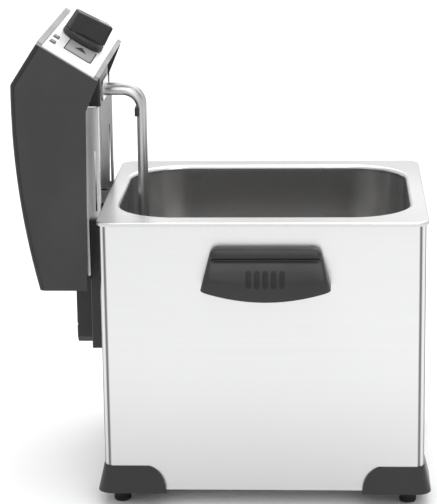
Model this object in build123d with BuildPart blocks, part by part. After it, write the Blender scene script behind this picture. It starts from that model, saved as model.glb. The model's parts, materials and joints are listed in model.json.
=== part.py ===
"""A semi-professional deep fryer: steel casing, lift-out oil tank and a control head on a slide rail.

Everything is in millimetres. The origin is on the table under the middle of the whole outline,
+X points to the fryer's front, +Z is up, and left and right are as seen by someone facing the front.
The control head is drawn at its raised draining position, above the tank's rear rim.
"""

from build123d import *
import os
from math import atan2, cos, degrees, sin, tan

os.makedirs("parts", exist_ok=True)

# ---------------------------------------------------------------- driving dimensions
body_x = 33.6               # the casing's middle lies this far in front of the origin
sheet = 0.8                 # steel sheet of the casing
plate = 1.2                 # steel sheet of the head's plates

casing_length = 267.2
casing_width = 241.0
casing_corner = 7.5
casing_bottom = 14.8
casing_top = 243.8

rim_length = 272.0
rim_width = 245.0
rim_corner = 12.0
rim_top = 245.0
rim_lip = 3.2               # height of the turned-down edge
tank_sheet = 0.9
tank_length = 244.0         # inside, along X
tank_width = 200.0          # inside, along Y
tank_corner = 50.0
tank_floor = 70.0
tank_floor_radius = 20.0

shoe_bottom = 13.2
shoe_height = 22.6
shoe_flare = 5.2            # how far the shoe stands out at its bottom edge
foot_x = 120.5
foot_y = 104.0
foot_radius = 7.4

handle_x = 3.0              # the carry handles sit slightly in front of the casing's middle
handle_top = 225.3
handle_screw_z = 213.8
handle_reach = 23.0
handle_wall = 3.0

rail_bottom = 121.3
rail_top = 233.5
rail_seat_top = 240.1       # the pad that the lowered head rests on
rail_half_width = 64.0
rail_face = -147.3          # rear face of the rail, from the casing's middle

seat_travel = 84.5          # how far the head sinks from draining to frying
head_half = 97.0
shell_wall = 2.5
shell_bottom = 181.0
front_face = -148.9         # outer face of the head's front plate
front_bend = 330.0          # the front plate leans forward above this height
front_lean = 0.317          # how much it leans, X per Z
panel_rear = (-181.2, 390.6)
panel_front = (-131.8, 359.8)
panel_stack = 3.0           # bezel tray and panel plate together

tube_radius = 3.25
tube_y = 12.5
tube_high = 334.0
tube_x = -106.3
tube_low = tank_floor + 11.5 + seat_travel
run_pitch = 25.0

knob_radius = 19.2
knob_turn = 27.0            # resting angle of the knob's grip across the panel

screw_radius = 2.0          # shanks of the 4 mm screws
screw_hole = 2.1            # radius of the clearance holes for them
pilot_radius = 1.8          # shanks of the smaller screws that cut into plastic
pan_radius = 3.6
pan_height = 2.4
running_gap = 0.3           # clearance round pieces that slide or pass through a hole
slip_gap = 0.1              # clearance round pieces that are guided closely

# ---------------------------------------------------------------- reference planes
panel_middle = ((panel_rear[0] + panel_front[0]) / 2, (panel_rear[1] + panel_front[1]) / 2)
panel_tilt = atan2(panel_rear[1] - panel_front[1], panel_front[0] - panel_rear[0])
panel_half = (panel_front[0] - panel_rear[0]) / 2 / cos(panel_tilt)


def level(z):
    """Horizontal plane at height z, centred on the casing."""
    return Plane(origin=(body_x, 0, z))


def side(y):
    """Upright plane at y that faces -Y: local x is X from the casing's middle, local y is Z."""
    return Plane(origin=(body_x, y, 0), x_dir=(1, 0, 0), z_dir=(0, -1, 0))


def end(x):
    """Upright plane at x from the casing's middle that faces +X: local x is Y, local y is Z."""
    return Plane(origin=(body_x + x, 0, 0), x_dir=(0, 1, 0), z_dir=(1, 0, 0))


def panel(height=0.0):
    """The sloping control panel's top face, raised by height: local x runs down the slope to the front."""
    return Plane(
        origin=(body_x + panel_middle[0], 0, panel_middle[1]),
        x_dir=(cos(panel_tilt), 0, -sin(panel_tilt)),
        z_dir=(sin(panel_tilt), 0, cos(panel_tilt)),
    ).offset(height)


def write(piece, name):
    """Labels a finished piece and saves it under the same name."""
    piece.part.label = name
    export_step(piece.part, f"parts/{name}.step")


def lean_x(z):
    """X of the front plate's outer face at height z."""
    return front_face + max(0.0, z - front_bend) * front_lean


# ---------------------------------------------------------------- casing and base
foot_spots = [(x, y) for x in (-foot_x, foot_x) for y in (-foot_y, foot_y)]
rail_screw_spots = [(y, z) for y in (-36, 36) for z in (140, 216)]
handle_screw_spots = [(x, handle_screw_z) for x in (handle_x - 30, handle_x + 30)]
top_flange = 8.0
top_flange_corner = 4.0
bottom_flange = 22.0
bottom_flange_corner = 12.0

with BuildPart() as outer_casing:
    with BuildSketch(level(casing_bottom)):
        RectangleRounded(casing_length, casing_width, casing_corner)
    extrude(amount=casing_top - casing_bottom)
    with BuildSketch(level(casing_bottom + sheet)):
        RectangleRounded(casing_length - 2 * sheet, casing_width - 2 * sheet, casing_corner - sheet)
    extrude(amount=casing_top - casing_bottom - 2 * sheet, mode=Mode.SUBTRACT)
    with BuildSketch(level(casing_bottom)):
        RectangleRounded(
            casing_length - 2 * bottom_flange,
            casing_width - 2 * bottom_flange,
            bottom_flange_corner,
        )
    extrude(amount=sheet, mode=Mode.SUBTRACT)
    with BuildSketch(level(casing_top - sheet)):
        RectangleRounded(casing_length - 2 * top_flange, casing_width - 2 * top_flange, top_flange_corner)
    extrude(amount=sheet, mode=Mode.SUBTRACT)
    with BuildSketch(level(casing_bottom)):
        with Locations(*foot_spots):
            Circle(screw_hole)
    extrude(amount=sheet, mode=Mode.SUBTRACT)
    with BuildSketch(end(-casing_length / 2)):
        with Locations(*rail_screw_spots):
            Circle(screw_hole)
    extrude(amount=sheet, mode=Mode.SUBTRACT)
    with BuildSketch(side(casing_width / 2)):
        with Locations(*handle_screw_spots):
            Circle(screw_hole)
    extrude(amount=casing_width, mode=Mode.SUBTRACT)
write(outer_casing, "outer_casing")

tray_low = casing_bottom + sheet
tray_sheet = 1.2
tray_length = casing_length - 2 * (sheet + running_gap)
tray_width = casing_width - 2 * (sheet + running_gap)
tray_corner = casing_corner - sheet - running_gap
tray_wall = 8.0
vent_pitch = (24, 70)
vent_count = (7, 2)

with BuildPart() as base_tray:
    with BuildSketch(level(tray_low)):
        RectangleRounded(tray_length, tray_width, tray_corner)
    extrude(amount=tray_wall)
    with BuildSketch(level(tray_low + tray_sheet)):
        RectangleRounded(tray_length - 2 * tray_sheet, tray_width - 2 * tray_sheet, tray_corner - tray_sheet)
    extrude(amount=tray_wall, mode=Mode.SUBTRACT)
    with BuildSketch(level(tray_low)):
        with GridLocations(*vent_pitch, *vent_count):
            SlotOverall(40, 5, rotation=90)
        with Locations(*foot_spots):
            Circle(screw_hole)
    extrude(amount=tray_sheet, mode=Mode.SUBTRACT)
write(base_tray, "base_tray")

shield_top = 54.0
shield_half = 93.0          # half length of the raised part
shield_foot = 112.0
shield_width = 180.0
shield_sheet = 1.0

with BuildPart() as heat_shield:
    with BuildSketch(side(shield_width / 2)):
        with BuildLine():
            half_shield = Polyline(
                (0, shield_top - shield_sheet),
                (shield_half - shield_sheet, shield_top - shield_sheet),
                (shield_half - shield_sheet, tray_low + tray_sheet),
                (shield_foot, tray_low + tray_sheet),
                (shield_foot, tray_low + tray_sheet + shield_sheet),
                (shield_half, tray_low + tray_sheet + shield_sheet),
                (shield_half, shield_top),
                (0, shield_top),
            )
            mirror(half_shield, about=Plane.YZ)
        make_face()
    extrude(amount=shield_width)
    with BuildSketch(level(shield_top - shield_sheet)):
        with GridLocations(40, 60, 4, 2):
            Circle(6)
    extrude(amount=shield_sheet, mode=Mode.SUBTRACT)
write(heat_shield, "heat_shield")

# ---------------------------------------------------------------- corner shoes and feet
shoe_length = 51.5          # along the casing at the bottom
shoe_shoulder = 32.0        # along the casing at the top
shoe_skin = 0.7             # how far the shoe's top edge stands out
shoe_corner = 12.0
foot_edge = 1.6
foot_bore = 4.0             # room for the screw's head, from below
foot_seat = 6.0             # height of the shoulder that the screw's head bears on
foot_screw_head = 2.6
foot_thread = 3.6           # how far the screw reaches into the base tray's nut
nut_radius = 4.0
nut_height = 3.0

with BuildPart() as shoe_ring:
    with BuildSketch(level(shoe_bottom)):
        RectangleRounded(
            casing_length + 2 * (shoe_flare + shoe_skin),
            casing_width + 2 * (shoe_flare + shoe_skin),
            shoe_corner,
        )
    extrude(amount=shoe_height, taper=degrees(atan2(shoe_flare, shoe_height)))
    with BuildSketch(level(casing_bottom)):
        RectangleRounded(casing_length, casing_width, casing_corner)
    extrude(amount=shoe_height, mode=Mode.SUBTRACT)
    with BuildSketch(level(shoe_bottom)):
        with Locations(*foot_spots):
            Circle(screw_hole)
    extrude(amount=shoe_height, mode=Mode.SUBTRACT)


def shoe_cheek(plane, half, sign):
    """Cheek of a shoe at one end of a face 2 x half long: straight top, elliptical inner end."""
    outside = sign * (half + shoe_corner)
    inner_low = sign * (half - shoe_length)
    inner_high = sign * (half - shoe_shoulder)
    crown = shoe_bottom + shoe_height + 1
    with BuildSketch(plane) as cheek:
        with BuildLine():
            Polyline(
                (inner_low, shoe_bottom + 2),
                (inner_low, shoe_bottom - 1),
                (outside, shoe_bottom - 1),
                (outside, crown),
                (inner_high, crown),
            )
            EllipticalCenterArc(
                (inner_high, shoe_bottom + 2),
                shoe_length - shoe_shoulder,
                shoe_height - 1,
                start_angle=90,
                arc_size=90 * sign,
            )
        make_face()
    return cheek.sketch


for x_sign, x_name in ((1, "front"), (-1, "rear")):
    for y_sign, y_name in ((-1, "left"), (1, "right")):
        with BuildPart() as corner_shoe:
            add(shoe_ring.part)
            extrude(
                shoe_cheek(side(casing_width), casing_length / 2, x_sign),
                amount=2 * casing_width,
                both=True,
                mode=Mode.INTERSECT,
            )
            extrude(
                shoe_cheek(end(casing_length), casing_width / 2, y_sign),
                amount=2 * casing_length,
                both=True,
                mode=Mode.INTERSECT,
            )
        write(corner_shoe, f"corner_shoe_{x_name}_{y_name}")

        foot_spot = (x_sign * foot_x, y_sign * foot_y)
        with BuildPart() as rubber_foot:
            with BuildSketch(level(0)):
                with Locations(foot_spot):
                    Circle(foot_radius)
            extrude(amount=shoe_bottom)
            fillet(rubber_foot.edges().group_by(Axis.Z)[0], radius=foot_edge)
            with BuildSketch(level(0)):
                with Locations(foot_spot):
                    Circle(foot_bore)
            extrude(amount=foot_seat, mode=Mode.SUBTRACT)
            with BuildSketch(level(foot_seat)):
                with Locations(foot_spot):
                    Circle(screw_hole)
            extrude(amount=shoe_bottom, mode=Mode.SUBTRACT)
        write(rubber_foot, f"rubber_foot_{x_name}_{y_name}")

nut_low = tray_low + tray_sheet

with BuildPart() as foot_screws:
    with BuildSketch(level(foot_seat - foot_screw_head)):
        with Locations(*foot_spots):
            Circle(pan_radius)
    extrude(amount=foot_screw_head)
    with BuildSketch(level(foot_seat)):
        with Locations(*foot_spots):
            Circle(screw_radius)
    extrude(amount=nut_low + foot_thread - foot_seat)
write(foot_screws, "foot_screws")

with BuildPart() as foot_nuts:
    with BuildSketch(level(nut_low)):
        with Locations(*foot_spots):
            RegularPolygon(nut_radius, 6)
            Circle(screw_radius, mode=Mode.SUBTRACT)
    extrude(amount=nut_height)
write(foot_nuts, "foot_nuts")

# ---------------------------------------------------------------- carry handles
handle_low = 183.4
handle_end_low = 192.5
handle_half_top = 44.3
handle_half_low = 52.9
handle_screw_length = 9.0   # inside the handle's bosses
handle_run = 140.0          # length of bar that the outline is cut from
bar_top = 6.0               # the bar's flat top reaches this far from the wall
bar_reach = 13.0
bar_drop = 7.0              # from the top to where the bar is thickest
groove_drop = 11.5
flare_drop = 24.0
boss_radius = 4.5
backplate_size = (84.0, 16.0)
backplate_sheet = 1.5
rib_count = 5
rib_pitch = 8.0
rib_size = (14.0, 3.0)
rib_height = 0.8
rib_z = 197.4


def across(x, y_sign):
    """Upright plane across a handle: local x runs outwards from the casing's wall, local y is Z."""
    return Plane(
        origin=(body_x + x, y_sign * casing_width / 2, 0),
        x_dir=(0, y_sign, 0),
        z_dir=(y_sign, 0, 0),
    )


def handle_section(plane, less):
    """Section of a handle, made smaller by less: rolled bar on top, groove, and a skirt that flares."""
    top = handle_top - less
    out = handle_reach - less
    with BuildSketch(plane) as section:
        with BuildLine():
            Polyline(
                (bar_reach - less, top - bar_drop),
                (bar_reach - 0.6 - less, top - groove_drop),
                (out - 2.5, top - flare_drop),
                (out, top - flare_drop - 7),
                (out, handle_low - 6),
                (0, handle_low - 6),
                (0, top),
                (bar_top - less / 2, top),
            )
            RadiusArc((bar_top - less / 2, top), (bar_reach - less, top - bar_drop), bar_drop + 0.2)
        make_face()
    return section.sketch


def handle_front(plane, less):
    """Outline of a handle seen square on: narrow top, wide low edge that sags in the middle."""
    low_half = handle_half_low - less
    top_half = handle_half_top - less
    with BuildSketch(plane) as outline:
        with BuildLine():
            Polyline(
                (handle_x - low_half, handle_end_low - less),
                (handle_x - top_half, handle_top + 1),
                (handle_x + top_half, handle_top + 1),
                (handle_x + low_half, handle_end_low - less),
            )
            ThreePointArc(
                (handle_x + low_half, handle_end_low - less),
                (handle_x, handle_low - less),
                (handle_x - low_half, handle_end_low - less),
            )
        make_face()
    return outline.sketch


for y_sign, y_name in ((-1, "left"), (1, "right")):
    with BuildPart() as handle_room:
        extrude(handle_section(across(-handle_run / 2, y_sign), handle_wall), amount=handle_run * y_sign)
        extrude(
            handle_front(side(casing_width), handle_wall),
            amount=2 * casing_width,
            both=True,
            mode=Mode.INTERSECT,
        )
        with BuildSketch(side(y_sign * -casing_width / 2)):
            with Locations(*handle_screw_spots):
                Circle(boss_radius)
        extrude(amount=2 * handle_reach, both=True, mode=Mode.SUBTRACT)

    with BuildPart() as carry_handle:
        extrude(handle_section(across(-handle_run / 2, y_sign), 0), amount=handle_run * y_sign)
        extrude(
            handle_front(side(casing_width), 0),
            amount=2 * casing_width,
            both=True,
            mode=Mode.INTERSECT,
        )
        add(handle_room.part, mode=Mode.SUBTRACT)
        with BuildSketch(side(y_sign * casing_width / 2)):
            with Locations(*handle_screw_spots):
                Circle(screw_radius)
        extrude(amount=-y_sign * handle_screw_length, mode=Mode.SUBTRACT)
        with BuildSketch(side(y_sign * (casing_width / 2 + handle_reach + rib_height))):
            with Locations((handle_x, rib_z)):
                with GridLocations(rib_pitch, 1, rib_count, 1):
                    SlotOverall(*rib_size, rotation=90)
        extrude(amount=y_sign * (rib_height + handle_wall - 1))
    write(carry_handle, f"carry_handle_{y_name}")

    inside = y_sign * (casing_width / 2 - sheet)
    with BuildPart() as handle_backplate:
        with BuildSketch(side(inside)):
            with Locations((handle_x, handle_screw_z)):
                RectangleRounded(*backplate_size, 4)
            with Locations(*handle_screw_spots):
                Circle(screw_hole, mode=Mode.SUBTRACT)
        extrude(amount=y_sign * backplate_sheet)
    write(handle_backplate, f"handle_backplate_{y_name}")

handle_screw_face = casing_width / 2 - sheet - backplate_sheet

with BuildPart() as handle_screws:
    for y_sign in (-1, 1):
        with BuildSketch(side(y_sign * handle_screw_face)):
            with Locations(*handle_screw_spots):
                Circle(pan_radius)
        extrude(amount=y_sign * pan_height)
        with BuildSketch(side(y_sign * handle_screw_face)):
            with Locations(*handle_screw_spots):
                Circle(screw_radius)
        extrude(amount=-y_sign * (handle_screw_length + sheet + backplate_sheet))
write(handle_screws, "handle_screws")

# ---------------------------------------------------------------- guide rail on the rear wall
tee_face = -139.2           # front of the rail's T head
tee_half = 57.6
neck_half = 52.5
rail_base = -136.0
cheek_inner = 59.8          # the rail's outer cheeks start here
seat_half = 29.5
switch_pin_radius = 1.25
pocket_radius = 3.5
pocket_depth = 8.0
switch_pin_depth = 14.0     # below the seat's top
rail_thread = 7.5           # how far the rail's screws reach into it
plunger_x = -143.2
plunger_y = 24.0
plunger_tip = 322.8
spring_low = 150.0
spring_high = 222.0
spring_width = 8.0
spring_slot = (12.0, 4.5)   # width and depth of the spring's recess in the rail

with BuildPart() as guide_rail:
    with BuildSketch(level(rail_bottom)):
        with BuildLine():
            half_rail = Polyline(
                (-casing_length / 2, 0),
                (-casing_length / 2, rail_half_width),
                (rail_face, rail_half_width),
                (rail_face, cheek_inner),
                (rail_base, cheek_inner),
                (rail_base, neck_half),
                (tee_face, neck_half),
                (tee_face, tee_half),
                (rail_face, tee_half),
                (rail_face, 0),
            )
            mirror(half_rail, about=Plane.XZ)
        make_face()
    extrude(amount=rail_top - rail_bottom)
    with BuildSketch(level(rail_top)):
        with Locations(((rail_face + rail_base) / 2, 0)):
            Rectangle(rail_base - rail_face, 2 * seat_half)
    extrude(amount=rail_seat_top - rail_top)
    with BuildSketch(level(rail_seat_top)):
        with Locations((plunger_x, plunger_y)):
            Circle(pocket_radius)
    extrude(amount=-pocket_depth, mode=Mode.SUBTRACT)
    with BuildSketch(level(rail_seat_top - pocket_depth)):
        with Locations((plunger_x, plunger_y)):
            Circle(switch_pin_radius)
    extrude(amount=pocket_depth - switch_pin_depth, mode=Mode.SUBTRACT)
    with BuildSketch(end(rail_face)):
        with Locations((0, (spring_low + spring_high) / 2)):
            Rectangle(spring_slot[0], spring_high - spring_low)
    extrude(amount=spring_slot[1], mode=Mode.SUBTRACT)
    with BuildSketch(end(-casing_length / 2)):
        with Locations(*rail_screw_spots):
            Circle(screw_radius)
    extrude(amount=-rail_thread - 0.5, mode=Mode.SUBTRACT)
    for outermost in (0, -1):
        cheek_edges = guide_rail.edges().filter_by(Axis.Z).group_by(Axis.Y)[outermost]
        fillet(cheek_edges.sort_by(Axis.X)[0], radius=1.5)
write(guide_rail, "guide_rail")

rail_screw_head = -casing_length / 2 + sheet

with BuildPart() as rail_screws:
    with BuildSketch(end(rail_screw_head)):
        with Locations(*rail_screw_spots):
            Circle(pan_radius)
    extrude(amount=pan_height)
    with BuildSketch(end(rail_screw_head)):
        with Locations(*rail_screw_spots):
            Circle(screw_radius)
    extrude(amount=-sheet - rail_thread)
write(rail_screws, "rail_screws")

with BuildPart() as switch_actuator:
    with BuildSketch(level(rail_seat_top - switch_pin_depth)):
        with Locations((plunger_x, plunger_y)):
            Circle(switch_pin_radius)
    extrude(amount=plunger_tip - seat_travel - running_gap - (rail_seat_top - switch_pin_depth))
write(switch_actuator, "switch_actuator")

spring_sheet = 0.5
spring_foot = rail_face + spring_slot[1]
spring_crown = rail_face + 0.2
spring_middle = (spring_low + spring_high) / 2

with BuildPart() as catch_spring:
    with BuildSketch(side(spring_width / 2)):
        with BuildLine():
            ThreePointArc(
                (spring_foot, spring_low + 1),
                (spring_crown, spring_middle),
                (spring_foot, spring_high - 1),
            )
            Line((spring_foot, spring_high - 1), (spring_foot, spring_high - 5))
            ThreePointArc(
                (spring_foot, spring_high - 5),
                (spring_crown + spring_sheet, spring_middle),
                (spring_foot, spring_low + 5),
            )
            Line((spring_foot, spring_low + 5), (spring_foot, spring_low + 1))
        make_face()
    extrude(amount=spring_width)
write(catch_spring, "catch_spring")

# ---------------------------------------------------------------- oil tank
rim_roll = 3.0              # radius of the rounded edge where the rim turns down into the tank
rim_edge = 1.6
mark_heights = (150.0, 172.0)
mark_size = (46.0, 2.4)
mark_relief = 0.8


def at_throat(height):
    """Picks the edges at this height that run round the tank's mouth, and not those of the rim's outside."""

    def test(edge):
        middle = edge.center()
        in_width = abs(middle.Y) < tank_width / 2 + 2
        in_length = abs(middle.X - body_x) < tank_length / 2 + 2
        is_level = edge.bounding_box().size.Z < 0.01
        return in_width and in_length and is_level and abs(middle.Z - height) < 0.01

    return test


with BuildPart() as tank_well:
    with BuildSketch(level(tank_floor)):
        RectangleRounded(tank_length, tank_width, tank_corner)
    extrude(amount=rim_top - tank_floor + 1)
    fillet(tank_well.edges().group_by(Axis.Z)[0], radius=tank_floor_radius)

with BuildPart() as oil_tank:
    with BuildSketch(level(rim_top - rim_lip)):
        RectangleRounded(rim_length, rim_width, rim_corner)
    extrude(amount=rim_lip)
    fillet(oil_tank.edges().group_by(Axis.Z)[-1], radius=rim_edge)
    with BuildSketch(level(rim_top - rim_lip)):
        RectangleRounded(rim_length - 2 * tank_sheet, rim_width - 2 * tank_sheet, rim_corner - tank_sheet)
    extrude(amount=rim_lip - tank_sheet, mode=Mode.SUBTRACT)
    with BuildSketch(level(tank_floor - tank_sheet)):
        RectangleRounded(
            tank_length + 2 * tank_sheet,
            tank_width + 2 * tank_sheet,
            tank_corner + tank_sheet,
        )
    extrude(amount=rim_top - tank_floor)
    fillet(oil_tank.edges().group_by(Axis.Z)[0], radius=tank_floor_radius + tank_sheet)
    fillet(oil_tank.edges().filter_by(at_throat(rim_top - tank_sheet)), radius=rim_roll - tank_sheet)
    add(tank_well.part, mode=Mode.SUBTRACT)
    fillet(oil_tank.edges().filter_by(at_throat(rim_top)), radius=rim_roll)
    with BuildSketch(side(tank_width / 2)):
        for height in mark_heights:
            with Locations((0, height)):
                SlotOverall(*mark_size)
    extrude(amount=mark_relief)
write(oil_tank, "oil_tank")

# ---------------------------------------------------------------- control head: shell and plates
shell_rear = (-205.3, 354.0)
shell_rear_low = (-186.5, shell_bottom)
shell_front_low = (-146.5, shell_bottom)
shell_front_bend = (-143.5, 332.0)
shell_rear_middle = (-201.6, 266.0)
shell_edge = 5.0            # rounding of the edges between the cheeks and the back
plate_boss = 4.5
pilot_depth = 12.0
boss_y = 86.0
boss_rows = ((200.0, 39.6), (318.0, 54.2))     # height and length of the plate's screw bosses
gland_y = 60.0
gland_z = 206.0
gland_face = -193.6
gland_bore = 5.0
gland_flange = 9.0
gland_boss = 11.0
gland_seat = 6.0            # depth of the spot-face that the gland's flange sits in
reset_z = 318.0
reset_radius = 3.5
reset_seat = -198.0
reset_boss = 7.5
vent_spots = [(-170, y) for y in range(-60, 61, 12)]
vent_size = (18.0, 4.0)


def shell_profile(plane, less, open_front):
    """Side outline of the head, made smaller by less; open_front carries it on past the front edge."""
    reach = 40 if open_front else 0
    front_top = (panel_front[0] + reach, panel_front[1] - reach * tan(panel_tilt))
    with BuildSketch(plane) as outline:
        with BuildLine():
            Polyline(
                (shell_rear[0] + less, shell_rear[1] - less / 3),
                (panel_rear[0] + less, panel_rear[1]),
                front_top,
                (shell_front_bend[0] + reach, shell_front_bend[1]),
                (shell_front_low[0] + reach, shell_front_low[1] + less),
                (shell_rear_low[0] + less, shell_rear_low[1] + less),
            )
            ThreePointArc(
                (shell_rear_low[0] + less, shell_rear_low[1] + less),
                (shell_rear_middle[0] + less, shell_rear_middle[1]),
                (shell_rear[0] + less, shell_rear[1] - less / 3),
            )
        make_face()
        fillet(outline.vertices().sort_by(Axis.X)[0], radius=6)
    return outline.sketch


def is_rear_side_edge(edge):
    """True for the long edges where the head's cheeks meet its back and its slanted rear top."""
    middle = edge.center()
    size = edge.bounding_box().size
    return size.Y < 0.01 and middle.X < body_x - 186 and size.Z > 0.5


with BuildPart() as shell_room:
    extrude(shell_profile(side(0), shell_wall, True), amount=head_half - shell_wall, both=True)
    fillet(shell_room.edges().filter_by(is_rear_side_edge), radius=shell_edge - 2)

plate_back = front_face - plate

with BuildPart() as head_shell:
    extrude(shell_profile(side(0), 0, False), amount=head_half, both=True)
    fillet(head_shell.edges().filter_by(is_rear_side_edge), radius=shell_edge)
    add(shell_room.part, mode=Mode.SUBTRACT)
    split(bisect_by=panel(-panel_stack), keep=Keep.BOTTOM)
    with BuildSketch(level(shell_bottom)):
        with Locations((plate_back + 20, 0)):
            Rectangle(40, 2 * (head_half - shell_wall))
    extrude(amount=shell_wall, mode=Mode.SUBTRACT)
    with BuildSketch(level(shell_bottom)):
        with Locations(*vent_spots):
            SlotOverall(*vent_size)
    extrude(amount=shell_wall, mode=Mode.SUBTRACT)
    for boss_z, boss_length in boss_rows:
        with BuildSketch(end(plate_back)):
            with Locations((-boss_y, boss_z), (boss_y, boss_z)):
                Circle(plate_boss)
        extrude(amount=-boss_length)
    with BuildSketch(end(plate_back)):
        for boss_z, boss_length in boss_rows:
            with Locations((-boss_y, boss_z), (boss_y, boss_z)):
                Circle(pilot_radius)
    extrude(amount=-pilot_depth, mode=Mode.SUBTRACT)
    with BuildSketch(end(gland_face)):
        with Locations((gland_y, gland_z)):
            Circle(gland_boss)
    extrude(amount=7)
    with BuildSketch(end(gland_face)):
        with Locations((gland_y, gland_z)):
            Circle(gland_flange + running_gap)
    extrude(amount=-gland_seat, mode=Mode.SUBTRACT)
    with BuildSketch(end(gland_face)):
        with Locations((gland_y, gland_z)):
            Circle(gland_bore)
    extrude(amount=10, mode=Mode.SUBTRACT)
    with BuildSketch(end(reset_seat)):
        with Locations((0, reset_z)):
            Circle(reset_boss)
    extrude(amount=-6)
    with BuildSketch(end(reset_seat)):
        with Locations((0, reset_z)):
            Circle(reset_radius + running_gap)
    extrude(amount=-12, mode=Mode.SUBTRACT)
write(head_shell, "head_shell")

plate_top = 357.5
plate_half = head_half - shell_wall - 0.2
head_screw_radius = 3.4

with BuildPart() as head_front_plate:
    with BuildSketch(side(plate_half)):
        with BuildLine():
            Polyline(
                (front_face, shell_bottom + shell_wall),
                (front_face, front_bend),
                (lean_x(plate_top), plate_top),
                (lean_x(plate_top) - plate, plate_top),
                (plate_back, front_bend),
                (plate_back, shell_bottom + shell_wall),
                close=True,
            )
        make_face()
    extrude(amount=2 * plate_half)
    with BuildSketch(end(plate_back)):
        for boss_z, boss_length in boss_rows:
            with Locations((-boss_y, boss_z), (boss_y, boss_z)):
                Circle(screw_hole)
        with Locations((-tube_y, tube_high), (tube_y, tube_high)):
            Circle(tube_radius + running_gap)
    extrude(amount=6, mode=Mode.SUBTRACT)
write(head_front_plate, "head_front_plate")

with BuildPart() as head_screws:
    for boss_z, boss_length in boss_rows:
        with BuildSketch(end(front_face)):
            with Locations((-boss_y, boss_z), (boss_y, boss_z)):
                Circle(head_screw_radius)
        extrude(amount=2.0)
        with BuildSketch(end(front_face)):
            with Locations((-boss_y, boss_z), (boss_y, boss_z)):
                Circle(pilot_radius)
        extrude(amount=2 - plate - pilot_depth)
write(head_screws, "head_screws")

# ---------------------------------------------------------------- slide that hangs on the rail
hook_low = 184.0
hook_high = 328.5
hook_half = 59.3
hook_front = -137.5
hook_lip = 53.0
web_front = front_face + plate
tongue_half = 40.0
tail_low = 120.0
tail_rear = -162.0
tail_half = 45.0
tail_bevel = 6.0
tail_recess_z = 148.0
tail_recess = (66.0, 34.0)
tail_recess_depth = 7.0
tail_step_z = 137.0         # small step in the carriage's rear face
tail_step = (0.8, 1.6)
tail_thread = 4.5
spring_hole = 4.0           # the catch spring's crown drops into this hole
slit_spot = (-141.0, 266.0)
slit_length = 52.0
slit_width = 1.2
tail_screw_spots = [(-25, 134), (25, 134), (-25, 168), (25, 168)]

with BuildPart() as slide_hook:
    with BuildSketch(level(hook_low)):
        with BuildLine():
            half_channel = Polyline(
                (front_face, 0),
                (front_face, hook_half),
                (hook_front, hook_half),
                (hook_front, hook_lip),
                (hook_front - plate, hook_lip),
                (hook_front - plate, hook_half - plate),
                (web_front, hook_half - plate),
                (web_front, 0),
            )
            mirror(half_channel, about=Plane.XZ)
        make_face()
    extrude(amount=hook_high - hook_low)
    with BuildSketch(end(front_face)):
        with Locations((0, (tail_low + 2 + hook_low) / 2)):
            Rectangle(2 * tongue_half, hook_low - tail_low - 2)
    extrude(amount=plate)
    with BuildSketch(end(front_face)):
        with Locations(*tail_screw_spots):
            Circle(screw_hole)
        with Locations((0, (spring_low + spring_high) / 2)):
            Circle(spring_hole)
    extrude(amount=plate, mode=Mode.SUBTRACT)
    for y_sign in (-1, 1):
        with BuildSketch(side(y_sign * hook_half)):
            with Locations(slit_spot):
                SlotOverall(slit_length, slit_width, rotation=90)
        extrude(amount=y_sign * plate, mode=Mode.SUBTRACT)
write(slide_hook, "slide_hook")

with BuildPart() as slide_carriage:
    with BuildSketch(end(front_face)):
        with BuildLine():
            Polyline(
                (-tail_half, tail_low + tail_bevel),
                (-tail_half, shell_bottom),
                (tail_half, shell_bottom),
                (tail_half, tail_low + tail_bevel),
                (tail_half - tail_bevel, tail_low),
                (-tail_half + tail_bevel, tail_low),
                close=True,
            )
        make_face()
    extrude(amount=tail_rear - front_face)
    with BuildSketch(end(tail_rear)):
        with Locations((0, tail_recess_z)):
            RectangleRounded(*tail_recess, 5)
    extrude(amount=tail_recess_depth, mode=Mode.SUBTRACT)
    with BuildSketch(side(tail_half)):
        with Locations((tail_rear + tail_step[0] / 2, tail_step_z)):
            Rectangle(*tail_step)
    extrude(amount=2 * tail_half, mode=Mode.SUBTRACT)
    with BuildSketch(end(front_face)):
        with Locations(*tail_screw_spots):
            Circle(pilot_radius)
    extrude(amount=-tail_thread - 0.5, mode=Mode.SUBTRACT)
write(slide_carriage, "slide_carriage")

with BuildPart() as carriage_screws:
    with BuildSketch(end(front_face)):
        with Locations(*tail_screw_spots):
            Circle(pilot_radius)
    extrude(amount=-tail_thread)
    with BuildSketch(end(front_face)):
        with Locations(*tail_screw_spots):
            Circle(screw_radius)
    extrude(amount=plate)
write(carriage_screws, "carriage_screws")

# ---------------------------------------------------------------- control panel
bezel_rear_bar = 5.0
bezel_front_bar = 4.0
panel_edge = 0.3
knob_lift = 0.8
spindle_radius = 3.0
spindle_hole = 3.6          # radius of the holes that the spindle passes with room to spare
lamp_x = -19.0
lamp_ys = {"power": -41.0, "ready": -66.0}
lamp_size = (5.0, 10.0)
holder_size = (8.0, 13.0)
holder_depth = 12.0
dial_x = 4.0
dial_y = -40.0
dial_size = (26.0, 52.0)
dial_border = 1.0
dial_sheet = 0.4
face_sheet = 0.2
pointer_ink = 0.15
pointer_y = (-43.0, -28.0)  # foot and tip of the printed pointer
pointer_half = 5.5


def panel_holes():
    """Holes for the spindle and the two lamps, cut through the panel's layers."""
    with BuildSketch(panel(-panel_stack)) as holes:
        Circle(spindle_hole)
        with Locations(*[(lamp_x, y) for y in lamp_ys.values()]):
            Rectangle(lamp_size[0] + 2 * slip_gap, lamp_size[1] + 2 * slip_gap)
    return holes.sketch


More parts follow.
